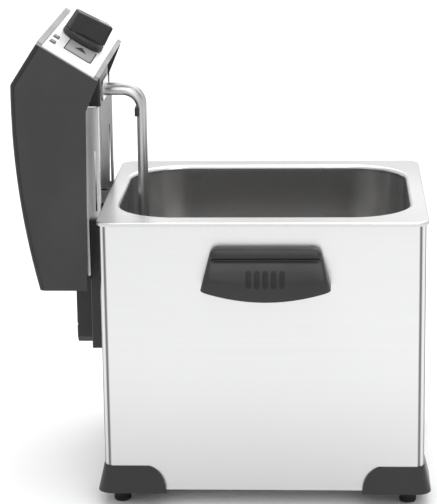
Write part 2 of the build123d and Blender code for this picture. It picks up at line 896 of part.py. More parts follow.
with BuildPart() as panel_bezel:
    with BuildSketch(panel(-panel_stack)):
        RectangleRounded(2 * panel_half, 2 * head_half, 2)
    extrude(amount=panel_stack + panel_edge)
    with BuildSketch(panel(-panel_stack + 1)):
        with Locations(((bezel_rear_bar - bezel_front_bar) / 2, 0)):
            Rectangle(2 * panel_half - bezel_rear_bar - bezel_front_bar, 2 * head_half)
    extrude(amount=panel_stack, mode=Mode.SUBTRACT)
    extrude(panel_holes(), amount=panel_stack, mode=Mode.SUBTRACT)
write(panel_bezel, "panel_bezel")

with BuildPart() as control_panel:
    with BuildSketch(panel(-panel_stack + 1)):
        with Locations(((bezel_rear_bar - bezel_front_bar) / 2, 0)):
            Rectangle(2 * panel_half - bezel_rear_bar - bezel_front_bar - 2 * slip_gap, 2 * head_half)
    extrude(amount=panel_stack - 1)
    fillet(control_panel.edges().filter_by(Axis.Y).group_by(Axis.Z)[-1], radius=0.6)
    extrude(panel_holes(), amount=panel_stack + 1, mode=Mode.SUBTRACT)
write(control_panel, "control_panel")

with BuildPart() as dial_plate:
    with BuildSketch(panel()):
        with Locations((dial_x, dial_y)):
            RectangleRounded(*dial_size, 3)
        Circle(spindle_hole, mode=Mode.SUBTRACT)
    extrude(amount=dial_sheet)
write(dial_plate, "dial_plate")

with BuildPart() as dial_face:
    with BuildSketch(panel(dial_sheet)):
        with Locations((dial_x, dial_y)):
            RectangleRounded(dial_size[0] - 2 * dial_border, dial_size[1] - 2 * dial_border, 2.2)
        Circle(spindle_hole, mode=Mode.SUBTRACT)
    extrude(amount=face_sheet)
write(dial_face, "dial_face")

with BuildPart() as dial_pointer:
    with BuildSketch(panel(dial_sheet + face_sheet)):
        with BuildLine():
            Polyline(
                (dial_x - pointer_half, pointer_y[0]),
                (dial_x + pointer_half, pointer_y[0]),
                (dial_x, pointer_y[1]),
                close=True,
            )
        make_face()
    extrude(amount=pointer_ink)
write(dial_pointer, "dial_pointer")

for lamp_name, lamp_y in lamp_ys.items():
    with BuildPart() as lamp_lens:
        with BuildSketch(panel(-panel_stack)):
            with Locations((lamp_x, lamp_y)):
                Rectangle(*lamp_size)
        extrude(amount=panel_stack + 1.0)
        lens_face = lamp_lens.faces().sort_by(Axis(panel().origin, panel().z_dir))[-1]
        fillet(lens_face.edges(), radius=0.5)
    write(lamp_lens, f"{lamp_name}_lamp_lens")

with BuildPart() as lamp_holders:
    with BuildSketch(panel(-panel_stack)):
        with Locations(*[(lamp_x, y) for y in lamp_ys.values()]):
            Rectangle(*holder_size)
    extrude(amount=-holder_depth)
write(lamp_holders, "lamp_holders")

# ---------------------------------------------------------------- thermostat, spindle and knob
thermostat_size = (38.0, 42.0)
thermostat_depth = 20.0
bush_gap = 0.05
bush_depth = 12.0
spindle_depth = 11.0        # how far the spindle reaches into the thermostat
knob_height = 23.0
knob_base = 7.0
spindle_top = 14.0
grip_length = 36.0
grip_width = 17.0
grip_sink = 0.5             # the grip starts this far inside the skirt
knob_line = (12.0, 1.6)
knob_line_x = 10.0
knob_line_paint = 0.3


def knob_plane(height):
    """Plane square to the spindle, turned to the knob's resting angle."""
    flat = panel(height)
    turned = flat.x_dir.rotate(Axis(flat.origin, flat.z_dir), knob_turn)
    return Plane(origin=flat.origin, x_dir=turned, z_dir=flat.z_dir)


with BuildPart() as thermostat_body:
    with BuildSketch(panel(-panel_stack)):
        Rectangle(*thermostat_size)
    extrude(amount=-thermostat_depth)
    with BuildSketch(panel(-panel_stack)):
        Circle(spindle_radius + bush_gap)
    extrude(amount=-bush_depth, mode=Mode.SUBTRACT)
write(thermostat_body, "thermostat_body")

with BuildPart() as thermostat_spindle:
    with BuildSketch(panel(-panel_stack - spindle_depth)):
        Circle(spindle_radius)
    extrude(amount=panel_stack + spindle_depth + spindle_top)
write(thermostat_spindle, "thermostat_spindle")

with BuildPart() as control_knob:
    with BuildSketch(knob_plane(knob_lift)):
        Circle(knob_radius)
    extrude(amount=knob_base - knob_lift, taper=6)
    fillet(control_knob.faces().sort_by(SortBy.AREA)[-2:].edges().filter_by(GeomType.CIRCLE), radius=1.2)
    with BuildSketch(knob_plane(knob_base - grip_sink)):
        RectangleRounded(grip_length, grip_width, 3)
    extrude(amount=knob_height - knob_base + grip_sink, taper=9)
    with BuildSketch(knob_plane(knob_lift)):
        Circle(spindle_radius)
    extrude(amount=spindle_top - knob_lift, mode=Mode.SUBTRACT)
write(control_knob, "control_knob")

with BuildPart() as knob_pointer:
    with BuildSketch(knob_plane(knob_height)):
        with Locations((knob_line_x, 0)):
            SlotOverall(*knob_line)
    extrude(amount=knob_line_paint)
write(knob_pointer, "knob_pointer")

# ---------------------------------------------------------------- element block, switch and plunger
block_low = 325.0
block_high = 352.0
block_half = 34.0
block_rear = web_front + 0.1
block_front = -138.2
plunger_radius = 1.6
plunger_travel = 1.5
collar_radius = 2.6
collar_floor = 327.4
switch_low = 331.0
switch_x = -142.0
switch_size = (4.6, 14.0, 10.0)
capillary_radius = 0.8
tube_socket = 14.0          # depth of the block's holes for the tubes
flange_z = 335.5
flange_size = (44.0, 17.0)
flange_sheet = 1.3
capillary_x = -109.8

with BuildPart() as element_block:
    with BuildSketch(side(block_half)):
        with BuildLine():
            Polyline(
                (block_rear, block_low),
                (block_front, block_low),
                (block_front, block_high),
                (lean_x(block_high), block_high),
                (block_rear, front_bend + (block_rear - front_face) / front_lean),
                close=True,
            )
        make_face()
    extrude(amount=2 * block_half)
    fillet(element_block.edges().filter_by(Axis.Z).group_by(Axis.X)[-1], radius=2)
    with BuildSketch(end(block_front)):
        with Locations((-tube_y, tube_high), (tube_y, tube_high)):
            Circle(tube_radius)
        with Locations((0, tube_high)):
            Circle(capillary_radius + slip_gap)
    extrude(amount=-tube_socket, mode=Mode.SUBTRACT)
    with BuildSketch(level(block_low)):
        with Locations((plunger_x, plunger_y)):
            Circle(plunger_radius + slip_gap)
    extrude(amount=switch_low - block_low, mode=Mode.SUBTRACT)
    with BuildSketch(level(collar_floor)):
        with Locations((plunger_x, plunger_y)):
            Circle(collar_radius + 2 * slip_gap)
    extrude(amount=switch_low - collar_floor, mode=Mode.SUBTRACT)
    with BuildSketch(level(switch_low)):
        with Locations((switch_x, plunger_y)):
            Rectangle(switch_size[0], switch_size[1])
    extrude(amount=switch_size[2], mode=Mode.SUBTRACT)
write(element_block, "element_block")

with BuildPart() as interlock_switch:
    with BuildSketch(level(switch_low)):
        with Locations((switch_x, plunger_y)):
            Rectangle(switch_size[0], switch_size[1])
    extrude(amount=switch_size[2])
write(interlock_switch, "interlock_switch")

with BuildPart() as interlock_plunger:
    with BuildSketch(level(plunger_tip)):
        with Locations((plunger_x, plunger_y)):
            Circle(plunger_radius)
    extrude(amount=switch_low - plunger_travel - running_gap - plunger_tip)
    fillet(interlock_plunger.edges().group_by(Axis.Z)[0], radius=0.8)
    with BuildSketch(level(collar_floor + slip_gap)):
        with Locations((plunger_x, plunger_y)):
            Circle(collar_radius)
    extrude(amount=1)
write(interlock_plunger, "interlock_plunger")

with BuildPart() as element_flange:
    with BuildSketch(end(block_front)):
        with Locations((0, flange_z)):
            RectangleRounded(*flange_size, 5)
        with Locations((-tube_y, tube_high), (tube_y, tube_high)):
            Circle(tube_radius, mode=Mode.SUBTRACT)
        with Locations((0, tube_high)):
            Circle(capillary_radius + slip_gap, mode=Mode.SUBTRACT)
    extrude(amount=flange_sheet)
write(element_flange, "element_flange")

# ---------------------------------------------------------------- heating element and probe
tube_end = -155.0
bend_radius = 15.0
turn_radius = 12.2
loop_rear = -80.0
loop_front = 80.0
loop_nose = 105.0
pin_radius = 1.5
pin_length = 6.0
brace_x = 45.0
brace_size = (8.0, 134.0)
brace_sheet = 1.2


def half_element(sign):
    """Corner points and bend radii of one half of the element, from its cold end to the nose."""
    near = sign * tube_y
    middle = near + sign * run_pitch
    far = middle + sign * run_pitch
    corners = [
        (tube_x, near, tube_high),
        (tube_x, near, tube_low),
        (loop_front, near, tube_low),
        (loop_front, middle, tube_low),
        (loop_rear, middle, tube_low),
        (loop_rear, far, tube_low),
        (loop_nose, far, tube_low),
    ]
    radii = [bend_radius, bend_radius, *[turn_radius] * 4, bend_radius]
    return corners, radii


left_corners, left_radii = half_element(-1)
right_corners, right_radii = half_element(1)

with BuildPart() as heating_element:
    with BuildLine(level(0)) as element_route:
        FilletPolyline(
            (tube_end, -tube_y, tube_high),
            *left_corners,
            *reversed(right_corners),
            (tube_end, tube_y, tube_high),
            radius=[*left_radii, *reversed(right_radii)],
        )
    with BuildSketch(Plane(origin=element_route.line @ 0, z_dir=element_route.line % 0)):
        Circle(tube_radius)
    sweep()
write(heating_element, "heating_element")

with BuildPart() as element_terminals:
    with BuildSketch(end(tube_end)):
        with Locations((-tube_y, tube_high), (tube_y, tube_high)):
            Circle(pin_radius)
    extrude(amount=-pin_length)
write(element_terminals, "element_terminals")

with BuildPart() as element_braces:
    with BuildSketch(level(tube_low + tube_radius)):
        with Locations((-brace_x, 0), (brace_x, 0)):
            RectangleRounded(*brace_size, 2)
    extrude(amount=brace_sheet)
write(element_braces, "element_braces")

probe_start = -96.0
probe_length = 62.0
probe_radius = 3.0
capillary_end = -146.0
capillary_bend = 7.0
clip_low = 313.0
clip_height = 7.0
clip_size = (3.4, 33.6)

with BuildPart() as thermostat_probe:
    with BuildLine(level(0)) as capillary_route:
        FilletPolyline(
            (capillary_end, 0, tube_high),
            (capillary_x, 0, tube_high),
            (capillary_x, 0, tube_low),
            (probe_start, 0, tube_low),
            radius=capillary_bend,
        )
    with BuildSketch(Plane(origin=capillary_route.line @ 0, z_dir=capillary_route.line % 0)):
        Circle(capillary_radius)
    sweep()
    with BuildSketch(end(probe_start)):
        with Locations((0, tube_low)):
            Circle(probe_radius)
    extrude(amount=probe_length)
    fillet(thermostat_probe.edges().group_by(Axis.X)[-1], radius=2)
write(thermostat_probe, "thermostat_probe")

with BuildPart() as probe_clip:
    with BuildSketch(level(clip_low)):
        with Locations((capillary_x + 0.4, 0)):
            RectangleRounded(*clip_size, 1)
        with Locations((tube_x, -tube_y), (tube_x, tube_y)):
            Circle(tube_radius, mode=Mode.SUBTRACT)
        with Locations((capillary_x, 0)):
            Circle(capillary_radius, mode=Mode.SUBTRACT)
    extrude(amount=clip_height)
write(probe_clip, "probe_clip")

# ---------------------------------------------------------------- inside the head
cutout_size = (26.0, 28.0)
cutout_depth = 12.0
cutout_well = 4.5
reset_length = 10.4
reset_travel = 1.6
reset_proud = -206.8
terminal_low = 236.0
terminal_high = 250.0
terminal_size = (13.0, 58.0)
terminal_pitch = 14.0
terminal_bore = 3.0
wire_radius = 1.2

with BuildPart() as safety_cutout:
    with BuildSketch(end(reset_seat)):
        with Locations((0, reset_z)):
            RectangleRounded(*cutout_size, 3)
    extrude(amount=cutout_depth)
    with BuildSketch(end(reset_seat)):
        with Locations((0, reset_z)):
            Circle(reset_radius + running_gap)
    extrude(amount=cutout_well, mode=Mode.SUBTRACT)
write(safety_cutout, "safety_cutout")

with BuildPart() as reset_button:
    with BuildSketch(end(reset_proud)):
        with Locations((0, reset_z)):
            Circle(reset_radius)
    extrude(amount=reset_length)
    fillet(reset_button.edges().group_by(Axis.X)[0], radius=0.8)
write(reset_button, "reset_button")

with BuildPart() as terminal_block:
    with BuildSketch(level(terminal_low)):
        with Locations((plate_back - terminal_size[0] / 2, 0)):
            Rectangle(*terminal_size)
    extrude(amount=terminal_high - terminal_low)
    with BuildSketch(end(plate_back - terminal_size[0])):
        with Locations((0, (terminal_low + terminal_high) / 2)):
            with GridLocations(terminal_pitch, 1, 4, 1):
                Circle(terminal_bore)
    extrude(amount=terminal_bore, mode=Mode.SUBTRACT)
write(terminal_block, "terminal_block")

wire_x = tube_end - 3.5
wire_bend = 20.0
wire_knee = 290.0           # height at which the wires turn aside
thermostat_x = -171.0
thermostat_low = (322.0, 350.0)


def element_wire(sign):
    """Corner points of the wire from the terminal block to one end of the element."""
    return (
        (wire_x, sign * 20, terminal_high),
        (wire_x, sign * 20, wire_knee),
        (wire_x, sign * tube_y, 312),
        (wire_x, sign * tube_y, tube_high - 1.5),
    )


thermostat_wire = (
    (wire_x, 0, terminal_high),
    (wire_x, 0, wire_knee),
    (thermostat_x, 0, thermostat_low[0]),
    (thermostat_x, 0, thermostat_low[1]),
)

with BuildPart() as internal_wires:
    for wire_points in (element_wire(-1), element_wire(1), thermostat_wire):
        with BuildLine(level(0)) as wire_route:
            FilletPolyline(*wire_points, radius=wire_bend)
        with BuildSketch(Plane(origin=wire_route.line @ 0, z_dir=wire_route.line % 0)):
            Circle(wire_radius)
        sweep()
write(internal_wires, "internal_wires")

gland_cap = 3.0             # thickness of the gland's flange
gland_nose = 6.0
gland_nose_radius = 6.5
gland_shank = 9.0
cord_radius = 3.6

with BuildPart() as cord_gland:
    with BuildSketch(end(gland_face)):
        with Locations((gland_y, gland_z)):
            Circle(gland_flange)
    extrude(amount=-gland_cap)
    with BuildSketch(end(gland_face - gland_cap)):
        with Locations((gland_y, gland_z)):
            Circle(gland_nose_radius)
    extrude(amount=-gland_nose, taper=8)
    with BuildSketch(end(gland_face)):
        with Locations((gland_y, gland_z)):
            Circle(gland_bore - 2 * slip_gap)
    extrude(amount=gland_shank)
    with BuildSketch(end(gland_face - gland_cap - gland_nose)):
        with Locations((gland_y, gland_z)):
            Circle(cord_radius)
    extrude(amount=gland_cap + gland_nose + gland_shank, mode=Mode.SUBTRACT)
write(cord_gland, "cord_gland")
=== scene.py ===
"""Looks of the deep fryer: materials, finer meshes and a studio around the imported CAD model.

Everything is in metres, in the CAD model's frame: +X points to the fryer's front and +Z is up.
"""

import json
from math import cos, pi, radians, sin, sqrt

import bmesh
import bpy
from mathutils import Matrix, Vector


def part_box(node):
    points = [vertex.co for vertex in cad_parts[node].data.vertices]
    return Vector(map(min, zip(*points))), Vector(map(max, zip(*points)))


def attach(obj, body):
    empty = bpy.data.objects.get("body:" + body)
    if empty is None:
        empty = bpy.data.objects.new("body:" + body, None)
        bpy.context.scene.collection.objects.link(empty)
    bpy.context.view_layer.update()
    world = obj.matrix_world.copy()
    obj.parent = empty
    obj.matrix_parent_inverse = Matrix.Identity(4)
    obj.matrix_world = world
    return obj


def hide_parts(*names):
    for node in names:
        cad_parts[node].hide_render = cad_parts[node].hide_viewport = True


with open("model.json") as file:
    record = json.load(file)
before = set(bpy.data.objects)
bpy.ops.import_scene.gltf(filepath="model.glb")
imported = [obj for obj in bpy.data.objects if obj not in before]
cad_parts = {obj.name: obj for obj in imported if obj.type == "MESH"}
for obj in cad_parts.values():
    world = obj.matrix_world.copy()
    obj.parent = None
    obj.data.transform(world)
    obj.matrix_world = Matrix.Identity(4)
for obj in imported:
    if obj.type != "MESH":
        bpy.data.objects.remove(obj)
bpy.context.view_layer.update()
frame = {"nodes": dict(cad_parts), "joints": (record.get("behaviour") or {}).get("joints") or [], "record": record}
mm = 0.001

# ---------------------------------------------------------------- camera, floor and lights
camera_place = Vector((0.0895, -1.8035, 0.6535))
camera_heading = 3.107      # degrees to the left of +Y
camera_tilt = 14.41         # degrees below the horizon
camera_roll = -0.795        # degrees about its own line of sight
camera_lens = 152.7         # millimetres on the default 36 mm sensor

camera = bpy.data.objects.new("camera", bpy.data.cameras.new("camera"))
bpy.context.scene.collection.objects.link(camera)
camera.data.lens = camera_lens
camera.data.clip_start = 0.05
camera.matrix_world = (
    Matrix.Translation(camera_place)
    @ Matrix.Rotation(radians(camera_heading), 4, "Z")
    @ Matrix.Rotation(radians(90 - camera_tilt), 4, "X")
    @ Matrix.Rotation(radians(camera_roll), 4, "Z")
)
bpy.context.scene.camera = camera
bpy.context.scene.view_settings.view_transform = "Standard"


def softbox(name, place, aim, width, length, power):
    """Rectangular area light at place that shines at aim."""
    light = bpy.data.lights.new(name, "AREA")
    light.shape = "RECTANGLE"
    light.size = width
    light.size_y = length
    light.energy = power
    lamp = bpy.data.objects.new(name, light)
    bpy.context.scene.collection.objects.link(lamp)
    lamp.location = place
    lamp.rotation_euler = (Vector(aim) - Vector(place)).to_track_quat("-Z", "Y").to_euler()


# name: place, what it aims at, width, length (metres) and power (watts)
softboxes = {
    "overhead_softbox": ((0.2, -0.2, 2.4), (0, 0, 0), 2.6, 3.2, 33),
    "front_softbox": ((0.9, -2.6, 1.7), (0, 0, 0.15), 1.6, 1.2, 12),
    "far_softbox": ((0.4, 2.4, 2.2), (0, 1.2, 0), 2.6, 1.6, 26),
}
for softbox_name, settings in softboxes.items():
    softbox(softbox_name, *settings)

# ---------------------------------------------------------------- shader node helpers


def node(tree, kind, inputs, **settings):
    """New shader node with its settings, and its inputs set to values or linked to outputs."""
    made = tree.nodes.new(kind)
    for name, value in settings.items():
        setattr(made, name, value)
    for key, value in inputs.items():
        if isinstance(value, bpy.types.NodeSocket):
            tree.links.new(value, made.inputs[key])
        else:
            made.inputs[key].default_value = value
    return made


def noise(tree, size, stretch=(1, 1, 1), detail=3.0):
    """Noise with features of this size in metres, drawn out along the axes whose stretch is small."""
    place = node(tree, "ShaderNodeTexCoord", {})
    scaled = node(tree, "ShaderNodeMapping", {"Vector": place.outputs["Object"], "Scale": stretch})
    made = node(
        tree,
        "ShaderNodeTexNoise",
        {"Vector": scaled.outputs["Vector"], "Scale": 1 / size, "Detail": detail},
    )
    return made.outputs["Fac"]


def spread(tree, factor, low, high, start=0.3, stop=0.7):
    """Maps factor from start..stop to low..high."""
    made = node(
        tree,
        "ShaderNodeMapRange",
        {"Value": factor, "From Min": start, "From Max": stop, "To Min": low, "To Max": high},
        interpolation_type="SMOOTHSTEP",
    )
    return made.outputs["Result"]


def math_node(tree, operation, *values):
    """Result of one arithmetic operation on numbers or outputs."""
    return node(tree, "ShaderNodeMath", dict(enumerate(values)), operation=operation).outputs[0]


def blend_color(tree, factor, first, second):
    """Colour between first and second, each an RGBA value or a colour output."""
    made = node(tree, "ShaderNodeMix", {0: factor, 6: first, 7: second}, data_type="RGBA")
    return made.outputs[2]


def bump(tree, height, depth, below=None):
    """Normal for bumps of this depth in metres, on top of another normal."""
    inputs = {"Height": height, "Distance": depth, "Strength": 1.0}
    if below is not None:
        inputs["Normal"] = below
    return node(tree, "ShaderNodeBump", inputs).outputs["Normal"]


def grey(value, warmth=0.0):
    """RGBA of a near neutral grey."""
    return (value * (1 + warmth), value, value * (1 - warmth), 1.0)


def shader_of(name):
    """New material, its node tree and its Principled shader."""
    made = bpy.data.materials.new(name)
    made.use_nodes = True
    return made, made.node_tree, made.node_tree.nodes["Principled BSDF"]


def height_above(tree, low, high):
    """0 below the height low and 1 above high, in metres in the CAD frame."""
    place = node(tree, "ShaderNodeTexCoord", {})
    parts = node(tree, "ShaderNodeSeparateXYZ", {"Vector": place.outputs["Object"]})
    return spread(tree, parts.outputs["Z"], 0.0, 1.0, low, high)


def bend_of(tree):
    """0 on walls that face along X or Y and 1 in the middle of the upright corners between them."""
    facing = node(tree, "ShaderNodeTexCoord", {})
    parts = node(tree, "ShaderNodeSeparateXYZ", {"Vector": facing.outputs["Normal"]})
    product = math_node(tree, "MULTIPLY", parts.outputs["X"], parts.outputs["Y"])
    return math_node(tree, "MULTIPLY", math_node(tree, "ABSOLUTE", product), 2.0)


# ---------------------------------------------------------------- materials
along_sides = (0.008, 0.008, 1)     # brushing that runs level round upright walls
along_z = (1, 1, 0.008)             # brushing that runs up and down
neutral_tint = (1.01, 1, 0.99)      # red, green and blue shares of the plastics' grey
rim_fade = (7.0 * mm, 2.5 * mm)     # the tank's bright rim starts and is full this far below its top; below it the walls carry painted shade


def brushed_steel(name, tone, roughness, grain, depth=0.00002):
    """Brushed sheet steel: fine drawn-out scratches, faint smears and a tone that wanders a little."""
    made, tree, shader = shader_of(name)
    scratches = noise(tree, 0.0005, grain, 4)
    strokes = noise(tree, 0.0016, grain, 3)
    smears = noise(tree, 0.12, (1, 1, 1), 1)
    base = blend_color(tree, strokes, grey(tone * 0.975), grey(tone * 1.025, -0.004))
    shader.inputs["Metallic"].default_value = 1.0
    shader.inputs["Anisotropic"].default_value = 0.5
    shader.inputs["Anisotropic Rotation"].default_value = 0.25
    rough = spread(tree, smears, roughness * 0.9, roughness * 1.1, 0.1, 0.9)
    tree.links.new(base, shader.inputs["Base Color"])
    tree.links.new(rough, shader.inputs["Roughness"])
    tree.links.new(bump(tree, scratches, depth), shader.inputs["Normal"])
    return made, tree, shader, base


def casing_steel():
    """Casing: level brushing, with painted shade: the colour is painted darker towards the base, and dark streaks
    are painted down the folded corners.
    """
    made, tree, shader, base = brushed_steel("casing_steel", 0.69, 0.3, along_sides)
    low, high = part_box("outer_casing")
    middle = (low.z + high.z) / 2
    # painted shade: from the middle of the casing down, its colour is painted darker, towards grey 0.6 at the base
    upper = height_above(tree, low.z, middle)
    wall = blend_color(tree, upper, grey(0.6), base)
    # painted shade: a dark grey streak is painted down the middle of each folded corner, standing in for the
    # darker reflection there
    bend = bend_of(tree)
    rising = spread(tree, bend, 0.0, 1.0, 0.3, 0.62)
    falling = spread(tree, bend, 1.0, 0.0, 0.8, 0.98)
    painted_corner_shade = math_node(tree, "MULTIPLY", rising, falling)
    tree.links.new(blend_color(tree, painted_corner_shade, wall, grey(0.16)), shader.inputs["Base Color"])
    return made


def tank_steel():
    """Oil tank: bright rim, drawn walls below it painted darker as painted shade, and upright corners painted
    lighter as painted reflection.
    """
    made, tree, shader = shader_of("tank_steel")
    cloud = noise(tree, 0.12, (1, 1, 0.5), 1)
    lines = noise(tree, 0.0009, along_z, 3)
    bend = spread(tree, bend_of(tree), 0.0, 1.0, 0.02, 0.7)
    # painted shade and painted reflection: the walls below the rim are painted darker (grey 0.44) as the shade
    # inside the tank, and the upright corners are painted lighter, towards grey 0.85, as reflections
    painted_wall_shade_and_corner_sheen = blend_color(tree, bend, grey(0.44), grey(0.85))
    fade_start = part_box("oil_tank")[1].z - rim_fade[0]
    fade_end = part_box("oil_tank")[1].z - rim_fade[1]
    height = height_above(tree, fade_start, fade_end)
    tree.links.new(blend_color(tree, height, painted_wall_shade_and_corner_sheen, grey(0.6)), shader.inputs["Base Color"])
    tree.links.new(spread(tree, cloud, 0.26, 0.3, 0.1, 0.9), shader.inputs["Roughness"])
    tree.links.new(bump(tree, lines, 0.000005), shader.inputs["Normal"])
    shader.inputs["Metallic"].default_value = 1.0
    shader.inputs["Anisotropic"].default_value = 0.6
    return made


def plain_steel():
    """Folded plates, flange and braces: upright brushing."""
    return brushed_steel("plain_steel", 0.62, 0.3, along_z)[0]


def screw_steel():
    """Turned bright steel of the fasteners."""
    return brushed_steel("screw_steel", 0.58, 0.25, (1, 1, 1), 0.00001)[0]


def element_steel():
    """Element tube: satin where it is cold, and straw to blue tints on the heated loops."""
    made, tree, shader = shader_of("element_steel")
    drift = noise(tree, 0.018, (1, 1, 1), 2)
    straw = (0.30, 0.25, 0.19, 1)
    blue = (0.24, 0.26, 0.30, 1)
    tint = blend_color(tree, spread(tree, drift, 0, 1), straw, blue)
    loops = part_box("heating_element")[0].z
    cold = height_above(tree, loops + 10 * mm, loops + 55 * mm)
    tree.links.new(blend_color(tree, cold, tint, grey(0.47)), shader.inputs["Base Color"])
    polish = noise(tree, 0.004, (1, 1, 0.05), 3)
    scratches = noise(tree, 0.0006, (1, 1, 0.1), 3)
    tree.links.new(spread(tree, polish, 0.27, 0.35), shader.inputs["Roughness"])
    tree.links.new(bump(tree, scratches, 0.000008), shader.inputs["Normal"])
    shader.inputs["Metallic"].default_value = 1.0
    return made


def moulded(name, tone, roughness, grain_size, grain_depth, tint=neutral_tint, specular=0.4):
    """Moulded plastic: fine spark-eroded grain, a faint flow pattern and worn-smooth patches."""
    made, tree, shader = shader_of(name)
    grain = noise(tree, grain_size, (1, 1, 1), 2)
    flow = noise(tree, 0.045, (1, 1, 0.6), 2)
    patches = noise(tree, 0.012, (1, 1, 1), 4)
    dark, light = ((*(tone * share * part for part in tint), 1) for share in (0.88, 1.12))
    base = blend_color(tree, spread(tree, flow, 0, 1), dark, light)
    tree.links.new(base, shader.inputs["Base Color"])
    tree.links.new(spread(tree, patches, roughness * 0.86, roughness * 1.1), shader.inputs["Roughness"])
    tree.links.new(bump(tree, grain, grain_depth), shader.inputs["Normal"])
    shader.inputs["Specular IOR Level"].default_value = specular
    return made, tree, shader, base


def shell_plastic():
    """Head shell: its rounded upright and slanted edges are painted darker, painted shade standing in for the
    shading on those rounded edges.
    """
    made, tree, shader, base = moulded("shell_plastic", 0.027, 0.5, 0.0007, 0.00005)
    # painted shade: the rounded upright edges are painted near black (grey 0.008)
    edge = spread(tree, bend_of(tree), 0.0, 1.0, 0.1, 0.5)
    tree.links.new(blend_color(tree, edge, base, grey(0.008)), shader.inputs["Base Color"])
    return made


def panel_silver():
    """Panel: pale silver paint with fine flakes under a thin clear coat."""
    made, tree, shader = shader_of("panel_silver")
    flakes = noise(tree, 0.0004, (1, 1, 1), 1)
    drift = noise(tree, 0.03, (1, 1, 1), 2)
    base = blend_color(tree, spread(tree, flakes, 0, 1), grey(0.76), grey(0.86))
    tree.links.new(base, shader.inputs["Base Color"])
    tree.links.new(spread(tree, drift, 0.33, 0.42), shader.inputs["Roughness"])
    tree.links.new(bump(tree, flakes, 0.000004), shader.inputs["Normal"])
    shader.inputs["Metallic"].default_value = 0.35
    shader.inputs["Coat Weight"].default_value = 0.25
    shader.inputs["Coat Roughness"].default_value = 0.2
    return made


def lens(name, dark, bright):
    """Unlit tinted lens: very deep colour with faint moulded ribs and a glossy face."""
    made, tree, shader = shader_of(name)
    ribs = noise(tree, 0.0016, (1, 0.05, 1), 1)
    tree.links.new(blend_color(tree, spread(tree, ribs, 0, 1), dark, bright), shader.inputs["Base Color"])
    tree.links.new(spread(tree, noise(tree, 0.004), 0.1, 0.18), shader.inputs["Roughness"])
    tree.links.new(bump(tree, ribs, 0.00003), shader.inputs["Normal"])
    shader.inputs["Coat Weight"].default_value = 0.3
    shader.inputs["Coat Roughness"].default_value = 0.06
    return made


def wire_sleeve():
    """Silicone-sleeved wires with a fine braid."""
    made, tree, shader = shader_of("wire_sleeve")
    braid = noise(tree, 0.0008, (1, 1, 1), 1)
    tone = blend_color(tree, spread(tree, braid, 0, 1), (0.22, 0.05, 0.04, 1), (0.42, 0.12, 0.09, 1))
    tree.links.new(tone, shader.inputs["Base Color"])
    tree.links.new(bump(tree, braid, 0.0001), shader.inputs["Normal"])
    shader.inputs["Roughness"].default_value = 0.6
    return made


def brass():
    """Terminal brass, slightly dulled."""
    made, tree, shader = shader_of("brass")
    dull = noise(tree, 0.003, (1, 1, 1), 3)
    tone = blend_color(tree, spread(tree, dull, 0, 1), (0.50, 0.36, 0.14, 1), (0.72, 0.55, 0.26, 1))
    tree.links.new(tone, shader.inputs["Base Color"])
    tree.links.new(spread(tree, dull, 0.42, 0.25), shader.inputs["Roughness"])
    shader.inputs["Metallic"].default_value = 1.0
    return made


finishes = {
    "casing_steel": casing_steel(),
    "tank_steel": tank_steel(),
    "plain_steel": plain_steel(),
    "screw_steel": screw_steel(),
    "element_steel": element_steel(),
    "shell_plastic": shell_plastic(),
    "dark_plastic": moulded("dark_plastic", 0.0145, 0.4, 0.0006, 0.00004)[0],
    "rubber": moulded("rubber", 0.016, 0.75, 0.0012, 0.00008, specular=0.25)[0],
    "panel_silver": panel_silver(),
    "bezel_grey": moulded("bezel_grey", 0.25, 0.35, 0.0006, 0.00002)[0],
    "dial_border": moulded("dial_border", 0.01, 0.5, 0.0004, 0.00001, specular=0.2)[0],
    "dial_grey": moulded("dial_grey", 0.24, 0.4, 0.0004, 0.00001)[0],
    "pointer_white": moulded("pointer_white", 0.78, 0.45, 0.0004, 0.00001)[0],
    "green_lens": lens("green_lens", (0.006, 0.022, 0.01, 1), (0.012, 0.05, 0.02, 1)),
    "red_lens": lens("red_lens", (0.04, 0.005, 0.004, 1), (0.09, 0.01, 0.008, 1)),
    "reset_red": moulded("reset_red", 0.24, 0.35, 0.0005, 0.00002, (1, 0.07, 0.05))[0],
    "inner_plastic": moulded("inner_plastic", 0.5, 0.5, 0.0007, 0.00003, (1.05, 1, 0.9))[0],
    "wire_sleeve": wire_sleeve(),
    "brass": brass(),
}

slot_of = {part["node"]: part["material_slot"] for part in frame["record"]["subparts"]}
for name, cad_node in frame["nodes"].items():
    cad_node.data.materials.clear()
    cad_node.data.materials.append(finishes[slot_of[name]])

# ---------------------------------------------------------------- mesh helpers
sharp_angle = radians(38)
bevel_angle = radians(35)
flat_angle = radians(0.4)
weld_distance = 0.01 * mm


def piece_from(bm, name, slot, body, *nodes):
    """Visible piece from a bmesh: gets its finish, rides on its body and stands for these CAD nodes."""
    bmesh.ops.recalc_face_normals(bm, faces=bm.faces)
    mesh = bpy.data.meshes.new(name)
    bm.to_mesh(mesh)
    bm.free()
    mesh.shade_smooth()
    mesh.set_sharp_from_angle(angle=sharp_angle)
    mesh.materials.append(finishes[slot])
    piece = bpy.data.objects.new(name, mesh)
    bpy.context.scene.collection.objects.link(piece)
    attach(piece, body)
    if nodes:
        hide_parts(*nodes)
    return piece


def bridge(bm, rings, closed=True):
    """Joins each ring of vertices to the next with quads."""
    for first, second in zip(rings, rings[1:]):
        count = len(first)
        for i in range(count if closed else count - 1):
            j = (i + 1) % count
            bm.faces.new((first[i], first[j], second[j], second[i]))


def cap(bm, ring, middle):
    """Closes a ring with a fan to a vertex in its middle."""
    hub = bm.verts.new(middle)
    for i, vertex in enumerate(ring):
        bm.faces.new((vertex, ring[(i + 1) % len(ring)], hub))


